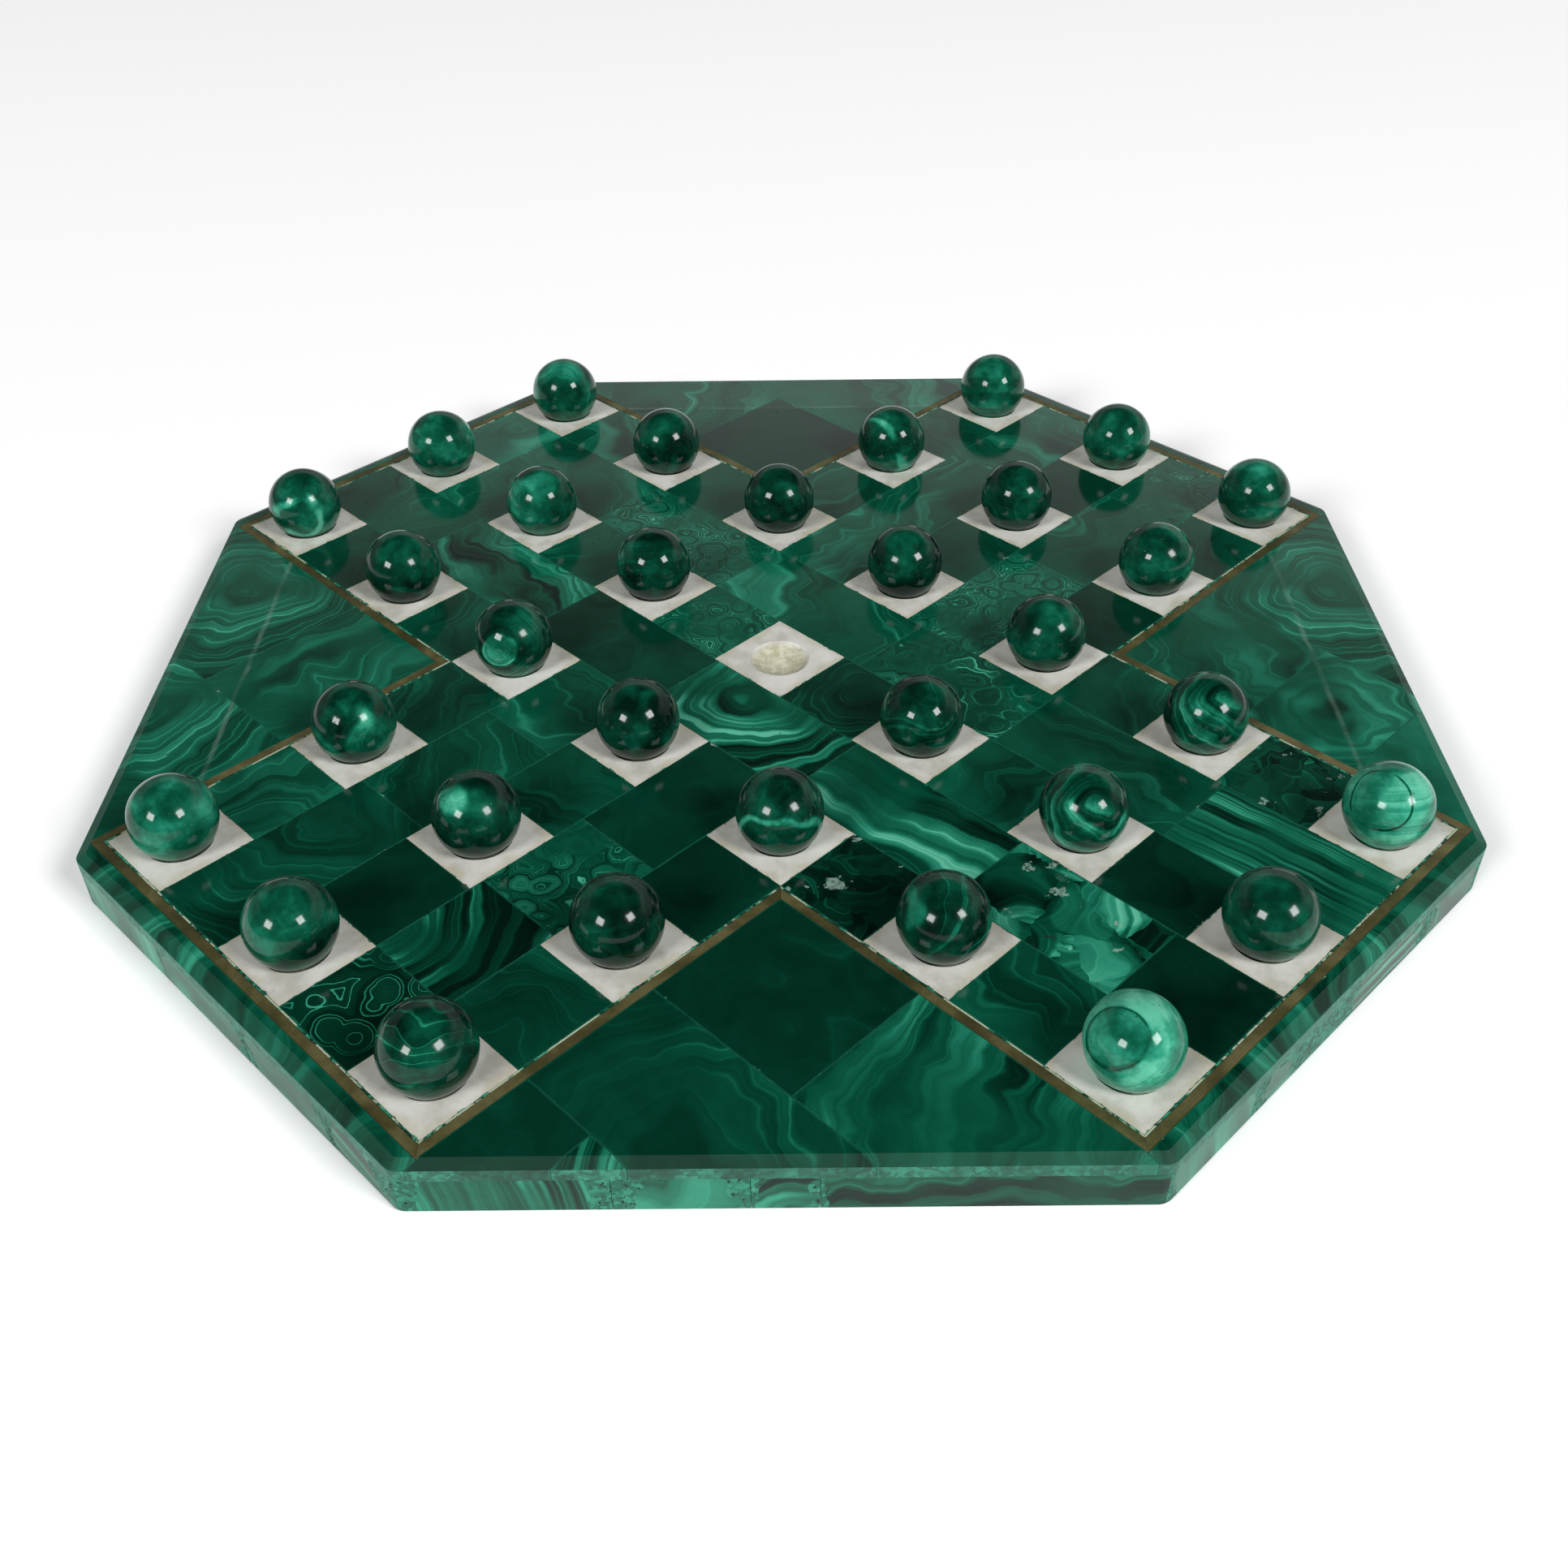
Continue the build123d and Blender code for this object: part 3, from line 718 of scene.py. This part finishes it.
# Each marble by column and row: its style, then, as seen from the viewpoint, the angle in degrees that its
# bands run at and how far they lean back. Rings have instead the place of their centre, to the right and up,
# as shares of the radius. An eye is how much lighter it is, its radius in millimetres, how much lighter its
# rim is, the rim's width in millimetres, and in banded stone the place of its centre.
MARBLE_LOOKS = {
    (3, 1): ("teal_bands", 25, 20), (4, 1): ("misty", 30, 0), (5, 1): ("veined", -12, 10),
    # The lighter eye of marble (3, 2) sits where the right lamp's highlight falls: a painted highlight.
    (3, 2): ("mottled", 0, 30, 0.30, 2.8, 0.0, 2.0, 0.38, 0.18),
    (4, 2): ("deep", 0, 30, 0.46, 3.4, 0.0, 1.1, -0.42, 0.56), (5, 2): ("deep", 90, 0),
    (1, 3): ("misty", -50, 10, 0.0, 6.0, 0.46, 1.5, -0.30, -0.50), (2, 3): ("mottled", 0, 0),
    (3, 3): ("eyed", -0.36, -0.22, 0.27, 4.0, 0.44, 0.55), (4, 3): ("deep", 0, 0),
    (5, 3): ("deep", -8, 10, 0.0, 10.2, 0.50, 1.1, -0.12, -0.96), (6, 3): ("veined", 80, 30),
    (7, 3): ("mint", -0.40, -0.02, -0.20, 5.8, -0.45, 0.35), (1, 4): ("teal", 5, 10),
    (2, 4): ("misty", 20, 0), (3, 4): ("lined", 2, 0), (5, 4): ("veined", 25, 50),
    (6, 4): ("swirled", 0.45, 0.15, 0.0, 6.0, 0.30, 1.0),
    (7, 4): ("mottled", 0, 0), (1, 5): ("misty", 0, 0), (2, 5): ("mottled", 50, 0), (3, 5): ("deep", 0, 0),
    (4, 5): ("patchy", 10, 0), (5, 5): ("mottled", 0, 0), (6, 5): ("swirled", 0.55, 0.42),
    (7, 5): ("mint_banded", 20, 10, 0.0, 6.2, -0.50, 0.35, -0.25, 0.05),
    (3, 6): ("mottled", 50, 20, 0.0, 9.5, 0.42, 1.6, -0.60, -0.50), (4, 6): ("deep", 0, 0),
    (5, 6): ("patchy", 40, 10), (3, 7): ("pale_lined", 0, 0), (4, 7): ("misty", 0, 0),
    (5, 7): ("pale_lined", 4, 0),
}


# Shares of a marble's radius: how high its lumps are, and how far it is shrunk to stay in the CAD ball.
LUMP_HEIGHT = 0.006
LUMP_ALLOWANCE = 0.004
LUMP_FINENESS = 1.6
BALL_SUBDIVISIONS = 5


def marble_piece(node):
    """A turned stone ball, slightly out of round, with the bands of the rock that it was cut from."""
    low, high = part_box(node)
    column, row = (int(part[1:]) for part in node.split("_")[1:])
    bm = bmesh.new()
    bmesh.ops.create_icosphere(bm, subdivisions=BALL_SUBDIVISIONS, radius=1.0)
    place, look, growth, inset, half = new_layers(bm)
    style, first, second, *eye = MARBLE_LOOKS[column, row]
    values = STYLES[style]
    centre = (Vector(low) + Vector(high)) / 2
    outward = (viewpoint - centre).normalized()
    rightward = Vector((0, 0, 1)).cross(outward).normalized()
    upward = outward.cross(rightward)

    def on_ball(across, above):
        """The point of the ball that is seen this far to the right and up, in millimetres."""
        depth = sqrt(1 - across**2 - above**2)
        return (rightward * across + upward * above + outward * depth) * marble_radius / MM

    origin = far_origin()
    if values[RINGS] > 0:
        origin = -on_ball(first, second)
        spin = Matrix.Identity(3)
    else:
        slope, lean = radians(first + 90), radians(second)
        layers_up = (rightward * cos(slope) + upward * sin(slope)) * cos(lean) + outward * sin(lean)
        spin = layers_up.rotation_difference(Vector((1, 0, 0))).to_matrix()
        if eye:
            origin = spin @ -on_ball(*eye[4:])
    lighter, eye_radius, rim, rim_width = eye[:4] or (0, 0, 0, 1)
    lumps = far_origin()
    for vert in bm.verts:
        swell = 1 + LUMP_HEIGHT * noise.noise(vert.co * LUMP_FINENESS + lumps) - LUMP_ALLOWANCE
        vert.co *= marble_radius * swell
        vert[place] = spin @ vert.co / MM + origin
        vert[look] = values[LOOK]
        vert[growth] = values[GROWTH]
        vert[inset] = (lighter, eye_radius, 0)
        vert[half] = (rim, rim_width, values[SHATTERED])
    for face in bm.faces:
        face.smooth = True
    mesh = bpy.data.meshes.new(node)
    bm.to_mesh(mesh)
    bm.free()
    mesh.materials.append(MARBLE)
    piece = bpy.data.objects.new("malachite_" + node, mesh)
    piece.location = centre
    bpy.context.scene.collection.objects.link(piece)
    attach(piece, node)
    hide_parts(node)


for node in sorted(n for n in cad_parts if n.startswith("marble_")):
    marble_piece(node)


# ---------------------------------------------------------------- floor and surroundings

FLOOR_REACH = 15.0
floor_corners = [(x * FLOOR_REACH, y * FLOOR_REACH, 0) for x, y in ((-1, -1), (1, -1), (1, 1), (-1, 1))]
floor_mesh = bpy.data.meshes.new("floor")
floor_mesh.from_pydata(floor_corners, [], [(0, 1, 2, 3)])
floor_mesh.materials.append(white_floor())
floor = bpy.data.objects.new("floor", floor_mesh)
bpy.context.scene.collection.objects.link(floor)

# The room that the polished stone mirrors: a bright band low down, dark above, and dimmer to the left and
# behind the camera. Seen directly it is an even pale grey.
ROOM_SHADES = (
    (0.0, 0.36), (0.30, 0.48), (0.42, 0.78), (0.47, 0.68), (0.52, 0.36), (0.58, 0.08), (0.66, 0.004))
ROOM_DARK = (0.01, 0.01, 0.01, 1)
BACKDROP = (0.86, 0.86, 0.86, 1)
world = bpy.data.worlds.new("studio")
bpy.context.scene.world = world
world.use_nodes = True
sky = Tree(world.node_tree)
direction = sky.add("ShaderNodeTexCoord").outputs["Generated"]
height = sky.parts(direction)[2]
behind = sky.vector("DOT_PRODUCT", direction, (-sin(heading), cos(heading), 0), output=1)
shade = sky.ramp(height, [(at, (grey, grey, grey)) for at, grey in ROOM_SHADES])
shade = sky.blend(sky.span(behind, -0.35, 0.25, 0.95, 0.0), shade, ROOM_DARK)
aside = sky.vector("DOT_PRODUCT", direction, (cos(heading), sin(heading), 0), output=1)
shade = sky.blend(sky.span(aside, -0.5, 0.2, 0.55, 0.0), shade, ROOM_DARK)
seen = sky.add("ShaderNodeLightPath").outputs["Is Camera Ray"]
shade = sky.blend(seen, shade, BACKDROP)
background = sky.add("ShaderNodeBackground", {"Color": shade, "Strength": 1.0})
output = sky.add("ShaderNodeOutputWorld")
sky.tree.links.new(background.outputs[0], output.inputs[0])

bpy.context.view_layer.update()
